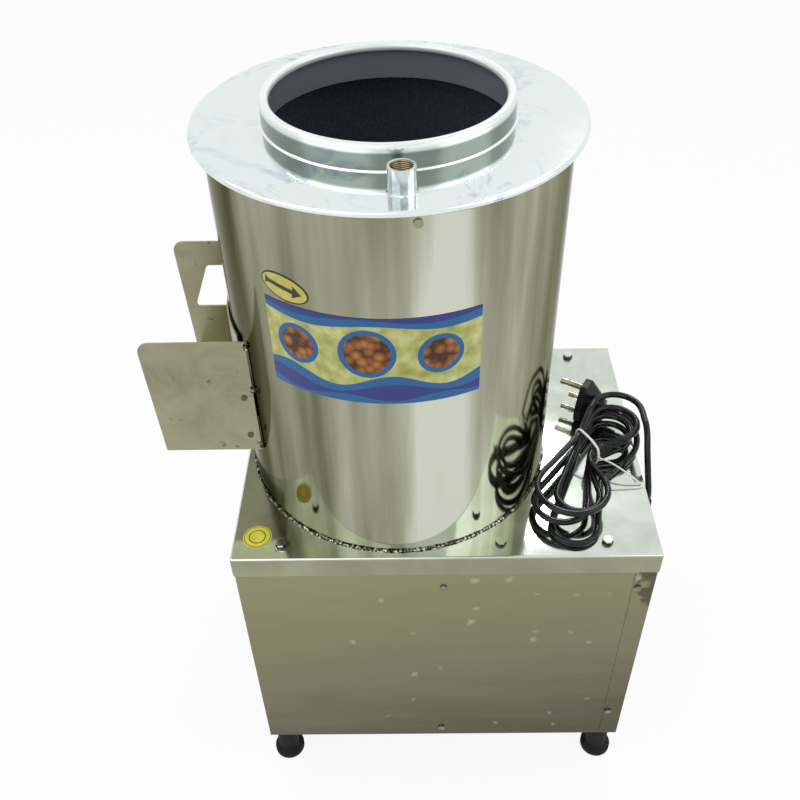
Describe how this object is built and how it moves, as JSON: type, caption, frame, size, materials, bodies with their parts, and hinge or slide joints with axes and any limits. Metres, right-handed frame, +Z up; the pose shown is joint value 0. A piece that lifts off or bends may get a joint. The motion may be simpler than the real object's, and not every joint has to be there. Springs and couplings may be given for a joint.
{
  "type": "potato peeling machine",
  "caption": "Upright abrasive-drum potato peeler on a footed sheet-metal base, with feed collar, water socket, side discharge door and chute, and belt drive.",
  "frame": {"origin": "centre of the footprint, on the floor under the feet", "axes": "+Z up along the drum, -Y to the front with the water socket, -X to the discharge chute"},
  "size_m": [0.5636, 0.3915, 0.885],
  "materials": {
    "stainless_sheet": "mirror to satin stainless sheet",
    "stainless_bar": "turned stainless",
    "weld_metal": "raw weld beads",
    "zinc_fasteners": "bright zinc plate",
    "frame_paint": "grey primer",
    "abrasive": "coarse abrasive coating",
    "black_rubber": "matte",
    "cast_iron": "machined casting",
    "bearing_steel": "ground",
    "motor_paint": "grey-blue paint",
    "black_plastic": "satin moulded",
    "black_pvc": "soft sheen",
    "twine": "white twisted twine",
    "pin_brass": "nickel-washed brass"
  },
  "bodies": {
    "machine": {"rubber_feet": "black_rubber", "foot_bolts": "zinc_fasteners", "corner_posts": "frame_paint", "lower_rails": "frame_paint", "upper_rails": "frame_paint", "support_rails": "frame_paint", "base_cabinet": "stainless_sheet", "service_panel": "stainless_sheet", "panel_screws": "zinc_fasteners", "top_cover": "stainless_sheet", "cover_washers": "zinc_fasteners", "cover_bolts": "zinc_fasteners", "drum_shell": "stainless_sheet", "drum_weld": "weld_metal", "drum_lining": "abrasive", "top_ring": "stainless_sheet", "ring_screws": "zinc_fasteners", "feed_collar": "stainless_sheet", "water_socket": "stainless_bar", "drain_spout": "stainless_sheet", "chute_cheek_front": "stainless_sheet", "chute_cheek_rear": "stainless_sheet", "cheek_welds": "weld_metal", "chute_floor": "stainless_sheet", "hinge_cheek_leaf": "stainless_sheet", "hinge_pin": "stainless_bar", "hinge_rivets": "zinc_fasteners", "bearing_bridge": "frame_paint", "bearing_housing": "cast_iron", "bearing_bolts": "zinc_fasteners", "shaft_bearings": "bearing_steel", "shaft_seal": "black_rubber", "motor_hangers": "zinc_fasteners", "motor_plate": "frame_paint", "motor_body": "motor_paint", "v_belt": "black_rubber", "fan_cover": "black_plastic", "terminal_box": "black_plastic", "inner_lead": "black_pvc", "cord_gland": "black_pvc", "cord_lead": "black_pvc", "cord_hank": "black_pvc", "cord_tail": "black_pvc", "cord_tie": "twine", "plug_body": "black_plastic", "plug_pins": "pin_brass"},
    "spinner": {"main_shaft": "stainless_bar", "peeling_disc": "abrasive", "disc_nut": "stainless_bar", "driven_pulley": "cast_iron"},
    "rotor": {"motor_shaft": "stainless_bar", "motor_pulley": "cast_iron", "motor_fan": "black_plastic"},
    "door": {"outlet_door": "stainless_sheet", "door_gasket": "black_rubber", "hinge_door_leaf": "stainless_sheet", "door_rivets": "zinc_fasteners", "latch_pivot": "stainless_bar"},
    "latch": {"latch_lever": "stainless_sheet"}
  },
  "joints": [
    {"name": "disc_spin", "type": "hinge", "parent": "machine", "child": "spinner", "pos_m": [-0.015, -0.0095, 0.508], "axis": [0, 0, 1], "continuous": true},
    {"name": "motor_spin", "type": "hinge", "parent": "machine", "child": "rotor", "pos_m": [0.1565, -0.0095, 0.307], "axis": [0, 0, 1], "continuous": true},
    {"name": "door_swing", "type": "hinge", "parent": "machine", "child": "door", "pos_m": [-0.187, -0.1005, 0.568], "axis": [0, 0, 1], "range_deg": [0, 86]},
    {"name": "latch_turn", "type": "hinge", "parent": "door", "child": "latch", "pos_m": [-0.18696, 0.05309, 0.626], "axis": [0.9397, -0.342, 0], "range_deg": [0, 90]}
  ],
  "couplings": [
    {"joint": "motor_spin", "follows": "disc_spin", "ratio": 3.1746}
  ]
}
